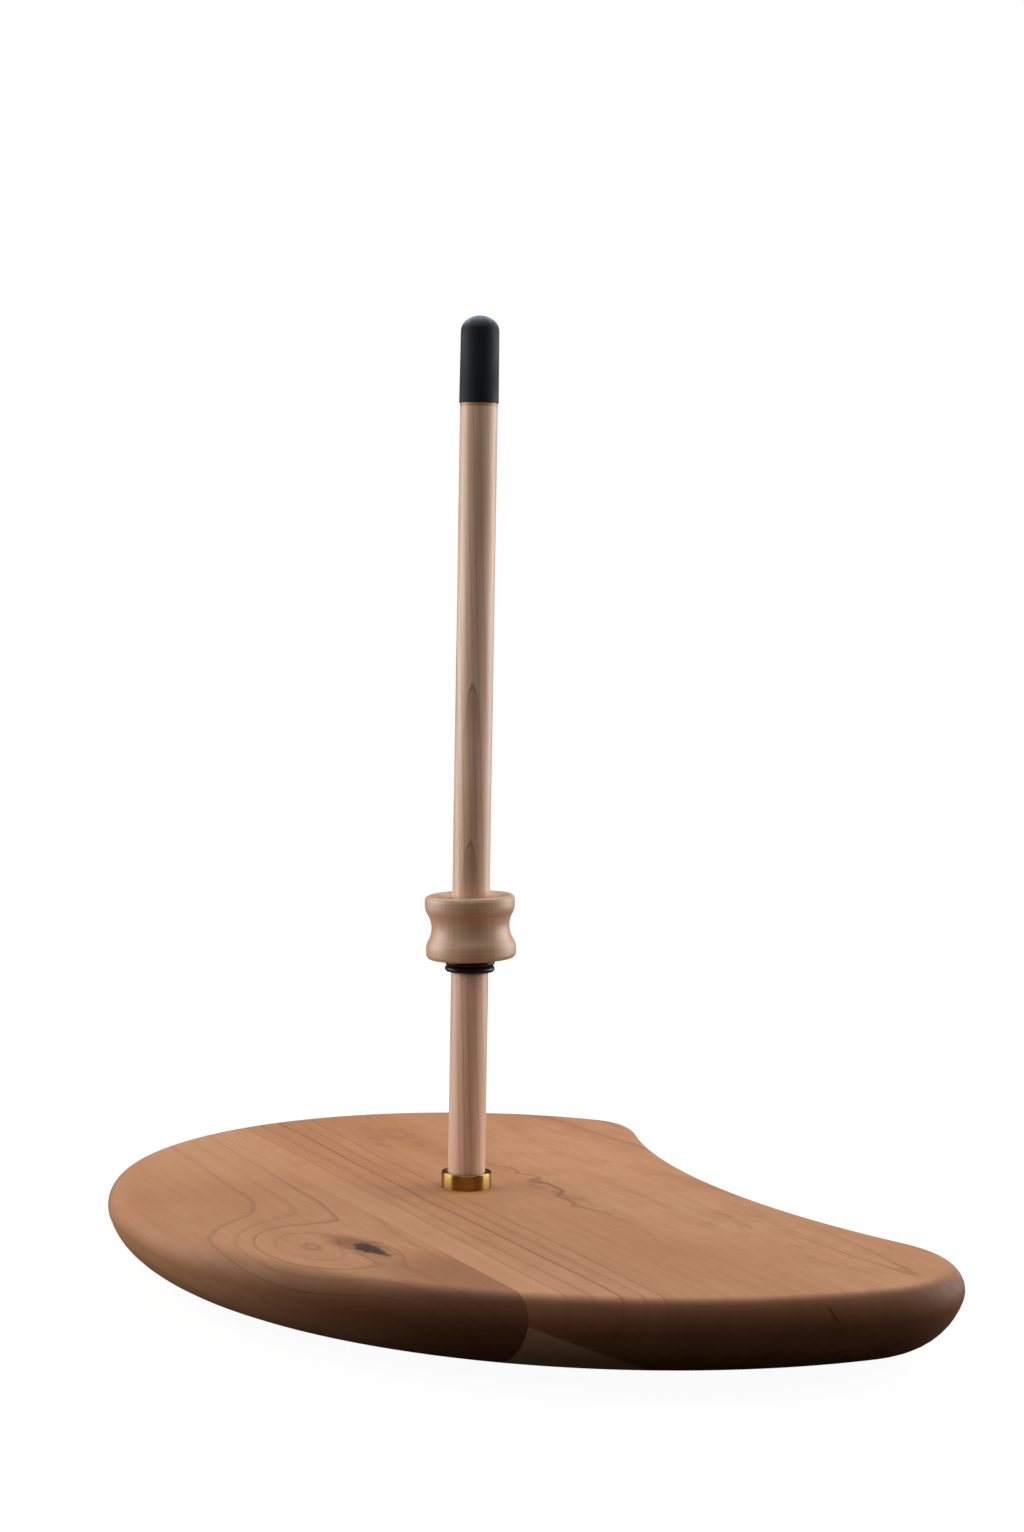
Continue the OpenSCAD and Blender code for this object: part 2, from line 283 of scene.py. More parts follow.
# %% Fill the top and the underside
flat_margin = 0.7 * MM
bpy.ops.mesh.select_all(action="DESELECT")
bpy.ops.mesh.select_non_manifold()
bpy.ops.mesh.edge_face_add()
bpy.ops.mesh.select_all(action="SELECT")
bpy.ops.mesh.normals_make_consistent(inside=False)
bpy.ops.object.mode_set(mode="OBJECT")
flats = select_faces(blank, lambda centre, normal: abs(normal.z) > 0.9999)
print("flat faces", flats)
bpy.ops.mesh.inset(thickness=flat_margin, depth=0)
bpy.ops.object.mode_set(mode="OBJECT")
report(blank)

# %% [markdown]
# ## Two boards from one
# The base is glued up from a narrow board and a wide one. The blank is copied and each copy is bisected
# along the glue line, which runs with the grain, so the joint shows as a change of figure and tone and
# as a hair-thin line.

# %% Saw the blank along the glue line
grain_turn = -63
grain = along((0, 0), grain_turn, 1).to_3d()
across = Vector((-grain.y, grain.x, 0))
glue_offset = -59 * MM


def copy_of(piece, name):
    """A copy of a piece, with a mesh of its own."""
    pick(piece)
    bpy.ops.object.duplicate()
    return named(name)


def keep_side(piece, towards):
    """Cuts a piece along the glue line and keeps what lies towards this direction."""
    pick(piece)
    bpy.ops.object.mode_set(mode="EDIT")
    bpy.ops.mesh.select_all(action="SELECT")
    bpy.ops.mesh.bisect(plane_co=across * glue_offset, plane_no=towards, use_fill=True, clear_inner=True)
    bpy.ops.mesh.select_all(action="SELECT")
    bpy.ops.mesh.normals_make_consistent(inside=False)
    bpy.ops.object.mode_set(mode="OBJECT")


board_left = copy_of(blank, "cherry_board_left")
keep_side(board_left, -across)
board_right = copy_of(blank, "cherry_board_right")
keep_side(board_right, across)
pick(blank)
bpy.ops.object.delete()

# %% [markdown]
# ## Drill the boards
# The wide board has the post's socket, the seat of the brass ring, and from below the screw's counterbore
# and clearance hole. Each foot's screw has a pilot hole. Cylinders are cut out of the boards with Boolean
# modifiers, which are applied, and the rims of the holes stay crisp as a sharp bit leaves them.


# %% Drill
def drill(board, at, radius, low, high, sides=64):
    """Cuts an upright hole in the board between two heights."""
    put_down_tools()
    bpy.ops.mesh.primitive_cylinder_add(
        vertices=sides, radius=radius, depth=high - low, location=(at[0], at[1], (low + high) / 2)
    )
    bit = bpy.context.object
    pick(board)
    bpy.ops.object.modifier_add(type="BOOLEAN")
    cut = board.modifiers[-1]
    cut.operation = "DIFFERENCE"
    cut.solver = "EXACT"
    cut.object = bit
    bpy.ops.object.modifier_apply(modifier=cut.name)
    pick(bit)
    bpy.ops.object.delete()


FIT, OVER = 0.04 * MM, 1 * MM
screw_hole_r, counterbore_r, counterbore_h, pilot_r = 2.65 * MM, 8.5 * MM, 6 * MM, 1.7 * MM
screw_hole_top = board_top - 5 * MM
socket_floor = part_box("post")[0].z
collar_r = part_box("post_collar")[1].x
drill(board_right, (0, 0), post_r + FIT, socket_floor, board_top + OVER)
drill(board_right, (0, 0), collar_r + FIT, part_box("post_collar")[0].z, board_top + OVER)
drill(board_right, (0, 0), screw_hole_r, board_low - OVER, screw_hole_top, 32)
drill(board_right, (0, 0), counterbore_r, board_low - OVER, board_low + counterbore_h)
feet = {}
for place in ("left", "far", "front", "right"):
    low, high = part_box(f"foot_{place}")
    feet[place] = (low + high) / 2
    board = board_left if place == "left" else board_right
    drill(board, feet[place], pilot_r, board_low - OVER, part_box(f"foot_screw_{place}")[1].z, 24)
for board in (board_left, board_right):
    smooth(board)
    report(board)

# %% [markdown]
# ## The turned spool
# A bobbin with two rounded rims, a hollow waist and a dished top, loose on the post so that it can turn with
# the roll. Its section is two tangent arcs a side, so it is drawn as points and arcs and turned. The real
# one leans a little on its ring because its bore is wider than the post, and so does this one: it is raised
# so that its low side touches the ring and no more.

# %% Turn the spool
spool_r, depth, rim_round, land, cove_r = 19.2 * MM, 2.6 * MM, 2.2 * MM, 2 * MM, 11 * MM
bore_r = post_r + 0.7625 * MM
half = spool_h / 2
swell_h = half - rim_round - land
arcs_r = (depth**2 + swell_h**2) / (2 * depth)
swell_r = arcs_r - cove_r
lean_in = math.degrees(math.asin(swell_h / arcs_r))
dish = 1 * MM
lean, touch_r = math.radians(2.4), 9.3 * MM

spool = first_point("turned_spool", bore_r, 0, -half)
straight(spool_r - rim_round - bore_r, 0, 0)
section_arc(spool_r - rim_round, rim_round - half, 90, 7)
straight(0, 0, land)
section_arc(spool_r - swell_r, -swell_h, lean_in, 5)
section_arc(spool_r - depth + cove_r, 0, -2 * lean_in, 16)
section_arc(spool_r - swell_r, swell_h, lean_in, 5)
straight(0, 0, land)
section_arc(spool_r - rim_round, half - rim_round, 90, 7)
straight(-rim_round, 0, 0)
straight(bore_r + dish - (spool_r - 2 * rim_round), 0, -dish)
straight(-dish, 0, 0)
straight(0, 0, dish - spool_h)
turn_on_lathe(96)
soften_edges(spool, 0.3 * MM)
smooth(spool)
spool.rotation_euler = (0, -lean, 0)
spool.location = (0, 0, spool_low + half + touch_r * math.tan(lean))
bpy.ops.object.transform_apply(location=True, rotation=True, scale=True)
report(spool)

# %% [markdown]
# ## The rubber cap
# A moulded cap with a slight draft, a round shoulder and a flatter crown. The section follows its bore and
# then its outside from the lip to the pole, so that the wall has a real thickness at the lip.

# %% Mould the cap
cap_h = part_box("post_cap")[1].z - shoulder_z
lip_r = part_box("post_cap")[1].x
neck_r = post_r + 0.1625 * MM
crown_r, shoulder_r = 1.17 * neck_r, 0.74 * neck_r
shoulder_x = neck_r - shoulder_r
shoulder_rise = math.sqrt((crown_r - shoulder_r) ** 2 - shoulder_x**2)
shoulder_at = cap_h - crown_r + shoulder_rise
blend_turn = math.degrees(math.atan2(shoulder_rise, shoulder_x))
wall, roof = 1.5 * MM, 28 * MM
lip = 0.35 * MM

cap = first_point("rubber_cap", 0, 0, shoulder_z + roof)
straight(neck_r - wall + FIT, 0, 0)
straight(0, 0, -roof)
straight(lip_r - lip - (neck_r - wall + FIT), 0, 0)
section_arc(lip_r - lip, shoulder_z + lip, 90, 5)
straight(neck_r - lip_r, 0, shoulder_at - lip)
section_arc(shoulder_x, shoulder_z + shoulder_at, blend_turn, 9)
section_arc(0, shoulder_z + cap_h - crown_r, 90 - blend_turn, 9)
turn_on_lathe(72)
smooth(cap, 50)
report(cap)

# %% [markdown]
# ## The brass ring
# A short length of brass tube, parted off and chamfered on the lathe. It sits two millimetres deep in the
# board. The chamfers are cut in the section and then softened, because the thin bright line that they catch
# is what makes it look like metal.

# %% Turn the ring
collar_low, collar_top = (corner.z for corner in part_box("post_collar"))
collar_bore, chamfer, inner_chamfer = post_r + 0.9625 * MM, 0.35 * MM, 0.2 * MM
collar = first_point("brass_collar", collar_bore, 0, collar_low)
straight(collar_r - collar_bore, 0, 0)
straight(0, 0, collar_top - chamfer - collar_low)
straight(-chamfer, 0, chamfer)
straight(collar_bore + inner_chamfer + chamfer - collar_r, 0, 0)
straight(-inner_chamfer, 0, -inner_chamfer)
straight(0, 0, collar_low + inner_chamfer - collar_top)
turn_on_lathe(96)
soften_edges(collar, 0.08 * MM, degrees=25)
smooth(collar, 30)
report(collar)

# %% [markdown]
# ## The two rubber rings
# Moulded O-rings, stretched over the post. They start as a torus; the points on the outer parting line are
# then scaled out by a few hundredths of a millimetre, which leaves the thin flash line of a moulded ring.


# %% Mould the rings
flash_h, near_line = 0.05 * MM, 0.01 * MM


def make_ring(name, node):
    low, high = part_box(node)
    minor = (high.z - low.z) / 2
    major = high.x - minor
    middle = (low.z + high.z) / 2
    put_down_tools()
    bpy.ops.mesh.primitive_torus_add(
        major_segments=96, minor_segments=24, major_radius=major, minor_radius=minor, location=(0, 0, middle)
    )
    ring = named(name)
    bpy.ops.object.transform_apply(location=True)
    bpy.ops.object.mode_set(mode="EDIT")
    bpy.ops.mesh.select_mode(type="VERT")
    bpy.ops.mesh.select_all(action="DESELECT")
    bpy.ops.object.mode_set(mode="OBJECT")
    for point in ring.data.vertices:
        point.select = point.co.xy.length > major + minor - near_line
    bpy.ops.object.mode_set(mode="EDIT")
    flash = 1 + flash_h / (major + minor)
    bpy.ops.transform.resize(value=(flash, flash, 1), center_override=(0, 0, middle))
    close_skin()
    bpy.ops.object.mode_set(mode="OBJECT")
    smooth(ring, 60)
    report(ring)
    return ring


ring_lower = make_ring("rubber_ring_lower", "stop_ring_lower")
ring_upper = make_ring("rubber_ring_upper", "stop_ring_upper")

# %% [markdown]
# ## The feet
# Four rubber feet, wider at the board than at the worktop, each with a recess for its washer and screw. One
# is modelled from a cylinder: its worktop face is scaled in, inset and pushed up for the recess, the screw's
# hole is bridged through, and the edges are softened. The other three are copies, each with its own mesh.

# %% Make one foot and copy it
foot_r, foot_low_r, foot_h = 9 * MM, 8 * MM, board_low
recess_r, recess_h, hole_r = 4.8 * MM, 3 * MM, 1.95 * MM
put_down_tools()
bpy.ops.mesh.primitive_cylinder_add(vertices=64, radius=foot_r, depth=foot_h, location=(0, 0, foot_h / 2))
foot = named("foot_pad_left")
bpy.ops.object.transform_apply(location=True)
select_faces(foot, lambda centre, normal: normal.z < -0.9)
shrink = foot_low_r / foot_r
bpy.ops.transform.resize(value=(shrink, shrink, 1), center_override=(0, 0, 0))
bpy.ops.mesh.inset(thickness=foot_low_r - recess_r, depth=0)
straight(0, 0, recess_h)
bpy.ops.mesh.inset(thickness=recess_r - hole_r, depth=0)
bpy.ops.object.mode_set(mode="OBJECT")
select_faces(foot, lambda centre, normal: normal.z > 0.9)
bpy.ops.mesh.inset(thickness=foot_r - hole_r, depth=0)
bpy.ops.object.mode_set(mode="OBJECT")
ends = select_faces(foot, lambda centre, normal: centre.xy.length < hole_r / 10 and abs(normal.z) > 0.9)
print("ends to bridge", ends)
bpy.ops.mesh.bridge_edge_loops()
close_skin()
bpy.ops.object.mode_set(mode="OBJECT")
soften_edges(foot, 0.35 * MM, 3)
pads = [foot if place == "left" else copy_of(foot, f"foot_pad_{place}") for place in feet]
for pad, at in zip(pads, feet.values()):
    pick(pad)
    pad.location = (at.x, at.y, 0)
    bpy.ops.object.transform_apply(location=True)
    smooth(pad)
    report(pad)

# %% [markdown]
# ## Finishes: nodes by hand
# The finishes are built from nodes in code. A few small helpers keep that short: one adds a node and fills
# its inputs, and others do arithmetic. What several finishes share is a node group with named inputs and
# outputs.


# %% Helpers for nodes
def add(tree, kind, inputs=None, **settings):
    """A node with its settings and inputs; an input that is a socket is linked."""
    made = tree.nodes.new(kind)
    for key, value in settings.items():
        setattr(made, key, value)
    for key, value in (inputs or {}).items():
        if isinstance(value, bpy.types.NodeSocket):
            tree.links.new(value, made.inputs[key])
        else:
            made.inputs[key].default_value = value
    return made


def calc(tree, operation, *values):
    return add(tree, "ShaderNodeMath", dict(enumerate(values)), operation=operation).outputs[0]


def times(tree, first, *others):
    for value in others:
        first = calc(tree, "MULTIPLY", first, value)
    return first


def total(tree, first, *others):
    for value in others:
        first = calc(tree, "ADD", first, value)
    return first


def vector_calc(tree, operation, *values, output=0):
    made = add(tree, "ShaderNodeVectorMath", dict(enumerate(values)), operation=operation)
    return made.outputs[output]


def scaled(tree, place, scale):
    return add(tree, "ShaderNodeVectorMath", {0: place, "Scale": scale}, operation="SCALE").outputs[0]


def xyz(tree, place):
    """The three coordinates of a place, each as a value."""
    return tuple(add(tree, "ShaderNodeSeparateXYZ", {"Vector": place}).outputs)


def fade(tree, value, start, end, low=0.0, high=1.0):
    """A smooth step of the value from start to end."""
    made = add(
        tree,
        "ShaderNodeMapRange",
        {"Value": value, "From Min": start, "From Max": end, "To Min": low, "To Max": high},
        interpolation_type="SMOOTHSTEP",
    )
    return made.outputs["Result"]


# %% Helpers for patterns and colours
def noise(tree, place, detail, scale=1.0, roughness=0.5):
    inputs = {"Vector": place, "Scale": scale, "Detail": detail, "Roughness": roughness}
    return add(tree, "ShaderNodeTexNoise", inputs).outputs["Fac"]


def grained(tree, place, along, across, detail, roughness=0.5):
    """Noise with one scale along the grain, which is x, and another across it."""
    stretched = vector_calc(tree, "MULTIPLY", place, (along, across, across))
    return noise(tree, stretched, detail, roughness=roughness)


def rgb(r, g, b):
    return (r, g, b, 1.0)


def blend(tree, amount, under, over, mode="MIX"):
    """Mixes two colours by an amount."""
    factor, first, second = 0, 6, 7
    inputs = {factor: amount, first: under, second: over}
    return add(tree, "ShaderNodeMix", inputs, data_type="RGBA", blend_type=mode).outputs[2]


def layered(tree, colour, *coats):
    """Lays each coat's tone over the colour, by the coat's amount."""
    for amount, tone in coats:
        colour = blend(tree, amount, colour, tone)
    return colour


# %% Helpers for node groups
def new_group(name, inputs, outputs):
    tree = bpy.data.node_groups.new(name, "ShaderNodeTree")
    for label, kind, value in inputs:
        socket = tree.interface.new_socket(name=label, in_out="INPUT", socket_type="NodeSocket" + kind)
        socket.default_value = value
    for label, kind in outputs:
        tree.interface.new_socket(name=label, in_out="OUTPUT", socket_type="NodeSocket" + kind)
    source = tree.nodes.new("NodeGroupInput")
    sink = tree.nodes.new("NodeGroupOutput")
    return tree, source.outputs, sink.inputs


def use_group(tree, group, **inputs):
    return add(tree, "ShaderNodeGroup", inputs, node_tree=group).outputs


# %% [markdown]
# ## Growth rings
# A tree grows in rings round its pith, and what a board shows is where its faces cut through them. So the
# rings are built in space: the distance from the pith's line, bent by slow and quick waves, is divided by
# the width of a year's growth. The last part of each year is a thin dark line, and no two years are equally
# dark or equally wide. The same rings then run on from the top, over the round and down the edge.

# %% Growth rings
rings_group, given, out = new_group(
    "growth_rings",
    (
        ("Place", "Vector", (0, 0, 0)),
        ("Year", "Float", 8 * MM),
        ("Wave", "Float", 4 * MM),
        ("Swell", "Float", 0.0),
    ),
    (("Line", "Float"), ("Tone", "Float"), ("Year tone", "Float")),
)
tree = rings_group
slow = grained(tree, given["Place"], 5, 17, 2)
quick = grained(tree, given["Place"], 36, 120, 3)
bend = times(tree, calc(tree, "SUBTRACT", slow, 0.5), given["Wave"])
shiver = times(tree, calc(tree, "SUBTRACT", quick, 0.5), given["Wave"], 0.14)
off_pith = vector_calc(tree, "MULTIPLY", given["Place"], (0, 1, 1))
radius = vector_calc(tree, "LENGTH", off_pith, output="Value")
radius = total(tree, radius, bend, shiver, given["Swell"])
years = calc(tree, "DIVIDE", radius, given["Year"])
uneven_inputs = {"W": times(tree, years, 0.43), "Scale": 1, "Detail": 1}
uneven = add(tree, "ShaderNodeTexNoise", uneven_inputs, noise_dimensions="1D")
years = total(tree, years, times(tree, uneven.outputs["Fac"], 1.3))
part = calc(tree, "FRACT", years)
whole = calc(tree, "FLOOR", years)
own = add(tree, "ShaderNodeTexWhiteNoise", {"W": whole}, noise_dimensions="1D").outputs["Value"]
strength = fade(tree, own, 0, 1, 0.25, 1.0)
line = times(tree, fade(tree, part, 0.70, 0.93), fade(tree, part, 0.94, 1.0, 1, 0))
tree.links.new(times(tree, line, strength), out["Line"])
tree.links.new(times(tree, part, part), out["Tone"])
tree.links.new(own, out["Year tone"])
print("growth rings:", len(tree.nodes), "nodes")

# %% [markdown]
# ## Fibre, pores and flecks
# Under the rings, wood is made of long fibres: fine streaks some centimetres long and under a millimetre
# wide, tiny open pores, and now and then a gum fleck. All three are noise that is squeezed across
# the grain and stretched along it.

# %% Fibre
fibre_group, given, out = new_group(
    "fibre",
    (("Place", "Vector", (0, 0, 0)), ("Fineness", "Float", 1.0)),
    (("Streak", "Float"), ("Pore", "Float"), ("Fleck", "Float"), ("Height", "Float")),
)
tree = fibre_group
fibre_place = scaled(tree, given["Place"], given["Fineness"])
coarse = grained(tree, fibre_place, 9, 330, 3, roughness=0.6)
fine = grained(tree, fibre_place, 40, 1700, 2)
streak = total(tree, times(tree, coarse, 0.65), times(tree, fine, 0.35))
pore = fade(tree, grained(tree, fibre_place, 190, 4200, 1), 0.66, 0.74)
fleck = fade(tree, grained(tree, fibre_place, 75, 620, 1), 0.735, 0.78)
tree.links.new(streak, out["Streak"])
tree.links.new(pore, out["Pore"])
tree.links.new(fleck, out["Fleck"])
tree.links.new(calc(tree, "SUBTRACT", streak, times(tree, pore, 0.5)), out["Height"])
print("fibre:", len(tree.nodes), "nodes")

# %% [markdown]
# ## A soft spot
# Knots, burls and stains fade out round a centre. This group gives one at the centre and falls off like
# a bell to nothing, with a reach of its own in each direction.

# %% Soft spot
spot_group, given, out = new_group(
    "soft_spot",
    (
        ("Place", "Vector", (0, 0, 0)),
        ("Centre", "Vector", (0, 0, 0)),
        ("Reach", "Vector", (10 * MM, 10 * MM, 10 * MM)),
    ),
    (("Amount", "Float"),),
)
tree = spot_group
away = vector_calc(tree, "SUBTRACT", given["Place"], given["Centre"])
away = vector_calc(tree, "DIVIDE", away, given["Reach"])
squared = vector_calc(tree, "DOT_PRODUCT", away, away, output="Value")
tree.links.new(calc(tree, "EXPONENT", times(tree, squared, -1.0)), out["Amount"])


def spot(tree, place, centre, reach):
    return use_group(tree, spot_group, Place=place, Centre=tuple(centre), Reach=reach)["Amount"]


# %% [markdown]
# ## Steps that every finish shares
# A finish starts from its shader, with the values that are the same all over set on the shader itself. It
# ends with a colour, a roughness and a bump that change over the surface. A ring that runs out of the wood
# draws a pointed arch, which woodworkers call a flame, and both woods have some.


# %% Shared steps of a finish
def new_finish(name, colour, roughness, **constants):
    material = bpy.data.materials.new(name)
    material.use_nodes = True
    material.diffuse_color = colour
    tree = material.node_tree
    shader = tree.nodes["Principled BSDF"]
    shader.inputs["Roughness"].default_value = roughness
    for key, value in constants.items():
        shader.inputs[key.replace("_", " ")].default_value = value
    place = add(tree, "ShaderNodeTexCoord").outputs["Object"]
    return material, tree, shader, place


def surface(tree, shader, colour, roughness, height, strength, depth):
    """Links the colour, the roughness and a bump of this strength and depth."""
    tree.links.new(colour, shader.inputs["Base Color"])
    tree.links.new(roughness, shader.inputs["Roughness"])
    bump = add(tree, "ShaderNodeBump", {"Height": height, "Strength": strength, "Distance": depth})
    tree.links.new(bump.outputs["Normal"], shader.inputs["Normal"])


def facing(tree):
    return add(tree, "ShaderNodeTexCoord").outputs["Normal"]


def turned_place(tree, place, shift=(0, 0, 0), turn=(0, 0, 0)):
    """The place after a turn in degrees and then a shift."""
    turn = tuple(math.radians(angle) for angle in turn)
    made = add(tree, "ShaderNodeMapping", {"Vector": place, "Location": shift, "Rotation": turn})
    return made.outputs["Vector"]


def inside_arch(tree, drop, aside, sharpness):
    """How far a place lies inside a pointed arch, given its drop from the tip and its way off the middle."""
    return calc(tree, "SUBTRACT", drop, times(tree, aside, aside, 1 / sharpness))


# %% [markdown]
# ## Oiled cherry
# Both boards are cherry with one grain direction, and from two planks. Each gets a place of its own in its
# tree, so their rings differ. The end grain, which faces along the grain, drinks more oil and goes darker,
# and this darkening is made strong enough to be also painted shade on the front edge and the tips.
# In a board's own directions, x runs along the grain, y across it from the post's axis, and z up.

# %% Cherry
from collections import namedtuple

Wood = namedtuple("Wood", "tree place lying along across up")
DEEP = 80 * MM
cherry_light = rgb(0.480, 0.245, 0.128)
cherry_pale = rgb(0.560, 0.310, 0.172)
cherry_warm = rgb(0.400, 0.183, 0.084)
cherry_line = rgb(0.190, 0.070, 0.028)
cherry_deep = rgb(0.245, 0.104, 0.047)
end_grain_and_shade_tone = rgb(0.31, 0.21, 0.15)


def on_top(along, across):
    """A spot on the board's top, in millimetres along the grain and across it."""
    return Vector((along * MM, across * MM, board_top))


def cherry(name, pith, tilt, year, wave, own_rings, own_marks):
    """Rings, fibre, patches, and end grain darkened partly as painted shade; own_rings and own_marks are
    what only one board has.
    """
    material, tree, shader, place = new_finish(name, cherry_light, 0.55, Specular_IOR_Level=0.13)
    lying = turned_place(tree, place, turn=(0, 0, -grain_turn))
    in_tree = turned_place(tree, lying, shift=pith, turn=(0, tilt, 0))
    wood = Wood(tree, place, lying, *xyz(tree, lying))
    swell, contrast = own_rings(wood)
    rings = use_group(tree, rings_group, Place=in_tree, Year=year, Wave=wave, Swell=swell)
    fibre = use_group(tree, fibre_group, Place=in_tree)
    blotch = grained(tree, lying, 40, 75, 4, roughness=0.6)
    colour = layered(
        tree,
        cherry_warm,
        (fade(tree, grained(tree, lying, 5, 15, 3), 0.32, 0.68), cherry_light),
        (fade(tree, blotch, 0.42, 0.66, 0, 0.50), cherry_warm),
        (times(tree, rings["Tone"], contrast, 0.45), cherry_warm),
        (times(tree, rings["Year tone"], contrast, 0.3), cherry_deep),
        (times(tree, rings["Line"], contrast), cherry_line),
        (fade(tree, fibre["Streak"], 0.36, 0.64, 0.13, 0), cherry_deep),
        (times(tree, fibre["Fleck"], 0.45), cherry_line),
        (times(tree, fibre["Pore"], 0.20), cherry_line),
    )
    for mark in own_marks:
        colour = mark(wood, colour)
    # Faces along the grain are darkened: real oiled end grain, and also painted shade on the front edge and
    # the tips.
    along_grain = vector_calc(tree, "DOT_PRODUCT", facing(tree), tuple(grain), output="Value")
    end_grain_and_painted_shade = fade(tree, calc(tree, "ABSOLUTE", along_grain), 0.06, 0.62, 0, 0.86)
    colour = blend(tree, end_grain_and_painted_shade, colour, end_grain_and_shade_tone, "MULTIPLY")
    rough = total(tree, fade(tree, fibre["Streak"], 0.3, 0.7, 0.66, 0.54), times(tree, fibre["Pore"], 0.2))
    surface(tree, shader, colour, rough, fibre["Height"], 0.25, 0.12 * MM)
    return material


# %% [markdown]
# ## The wide board's own marks
# Each mark is a short function that lays one tone over the colour so far: faint smudges, a wavy line
# through them, a long flame towards the right tip, a painted reflection of the brass ring on the wood in
# front of it, a small scar on the front edge, and the sapwood along the glue line.


# %% Figure on the wide board
def smudges(wood, colour):
    """Broken brown figure by the ring, towards the far side and towards the tips."""
    tree = wood.tree
    curl = fade(tree, grained(tree, wood.lying, 34, 70, 4, roughness=0.6), 0.52, 0.62)
    amount = 0.0
    for centre, reach, strong in (
        (on_top(22, 33), (42 * MM, 14 * MM, DEEP), 0.45),
        (on_top(-95, 14), (50 * MM, 20 * MM, DEEP), 0.40),
        (on_top(115, 75), (60 * MM, 16 * MM, DEEP), 0.35),
        (on_top(-70, -50), (36 * MM, 7 * MM, DEEP), 0.45),
    ):
        amount = total(tree, amount, times(tree, spot(tree, wood.lying, centre, reach), strong))
    return blend(tree, times(tree, curl, amount), colour, cherry_deep)


def wavy_line(wood, colour):
    """One brown line that wanders through that figure."""
    tree = wood.tree
    wander = times(tree, calc(tree, "SUBTRACT", noise(tree, wood.lying, 4, scale=44), 0.5), 44 * MM)
    off_line = calc(tree, "SUBTRACT", calc(tree, "SUBTRACT", wood.across, 32 * MM), wander)
    near = fade(tree, calc(tree, "ABSOLUTE", off_line), 0.2 * MM, 3.4 * MM, 0.9, 0)
    within = spot(tree, wood.lying, on_top(18, 33), (60 * MM, 18 * MM, DEEP))
    return blend(tree, times(tree, near, within), colour, cherry_deep)


def tip_flame(wood, colour):
    """A long narrow flame of one ring that runs towards the right tip."""
    tree = wood.tree
    drop = calc(tree, "SUBTRACT", 198 * MM, wood.along)
    aside = calc(tree, "SUBTRACT", wood.across, 90 * MM)
    edge = calc(tree, "ABSOLUTE", inside_arch(tree, drop, aside, 0.9 * MM))
    edge = fade(tree, edge, 1 * MM, 13 * MM, 0.55, 0)
    return blend(tree, times(tree, edge, fade(tree, drop, 50 * MM, 130 * MM, 1, 0)), colour, cherry_deep)


def painted_brass_reflection(wood, colour):
    """A painted reflection: the wood in front of the brass ring is painted warmer, as if lit by the ring's
    colour.
    """
    patch = spot(wood.tree, wood.lying, on_top(14, -7), (9 * MM, 9 * MM, 50 * MM))
    return blend(wood.tree, times(wood.tree, patch, 0.45), colour, rgb(0.60, 0.27, 0.085))


# %% Scar, sapwood and glue line
def scar(wood, colour):
    """A small dark scar on the front edge near the right tip."""
    tree = wood.tree
    at_scar = vector_calc(tree, "SUBTRACT", wood.place, (137.1 * MM, -172.5 * MM, 30.5 * MM))
    at_scar = turned_place(tree, at_scar, turn=(0, 34, 0))
    amount = spot(tree, at_scar, (0, 0, 0), (0.7 * MM, 8 * MM, 4.2 * MM))
    return blend(tree, fade(tree, amount, 0.2, 0.7, 0, 0.75), colour, cherry_line)


def glued_side(wood, colour):
    """A lighter band beside the glue line, the sapwood under it, and the hair-thin line itself."""
    tree = wood.tree
    from_glue = calc(tree, "SUBTRACT", wood.across, glue_offset)
    rise = total(tree, wood.up, times(tree, from_glue, 0.41))
    sapwood = fade(tree, rise, 25.5 * MM, 26.8 * MM, 0.85, 0)
    return layered(
        tree,
        colour,
        (fade(tree, wood.across, -60 * MM, -30 * MM, 0.30, 0.0), cherry_pale),
        (sapwood, rgb(0.900, 0.620, 0.380)),
        (fade(tree, calc(tree, "ABSOLUTE", from_glue), 0.1 * MM, 0.45 * MM, 0.5, 0), cherry_line),
    )


# %% The wide board
def wide_rings(wood):
    """No swelling; the rings show most by the glue line and least behind the post and on the rim."""
    tree = wood.tree
    calm = fade(tree, wood.across, -25 * MM, 25 * MM, 0.55, 0.08)
    calm = total(tree, calm, fade(tree, wood.across, 80 * MM, 100 * MM, 0, 0.25))
    on_flat = fade(tree, wood.up, board_top - 1.5 * MM, board_top - 0.1 * MM, 0.25, 1)
    return 0.0, times(tree, calm, on_flat)


wide_marks = (smudges, wavy_line, tip_flame, painted_brass_reflection, scar, glued_side)
wide_cherry = cherry(
    "cherry_wide_board", (0, -90 * MM, 8 * MM), 2.9, 8.2 * MM, 10 * MM, wide_rings, wide_marks
)
print(wide_cherry.name, len(wide_cherry.node_tree.nodes), "nodes")

# %% [markdown]
# ## The knot
# The narrow board has a small dark knot with a burl beside it. Where a branch left the trunk, the rings
# swell round it. So a bell-shaped swelling is added to the distance from the pith, and the rings close
# into ovals round its top, while the knot itself is a ragged dark spot with a brown halo.


# %% The narrow board
def narrow_rings(wood):
    """A burl swells the rings, and the knot beside it draws them in."""
    tree = wood.tree
    burl = spot(tree, wood.lying, on_top(71, -104), (40 * MM, 25 * MM, 60 * MM))
    dent = spot(tree, wood.lying, on_top(86, -83), (17 * MM, 10 * MM, 50 * MM))
    return total(tree, times(tree, burl, 27 * MM), times(tree, dent, -12 * MM)), 0.38


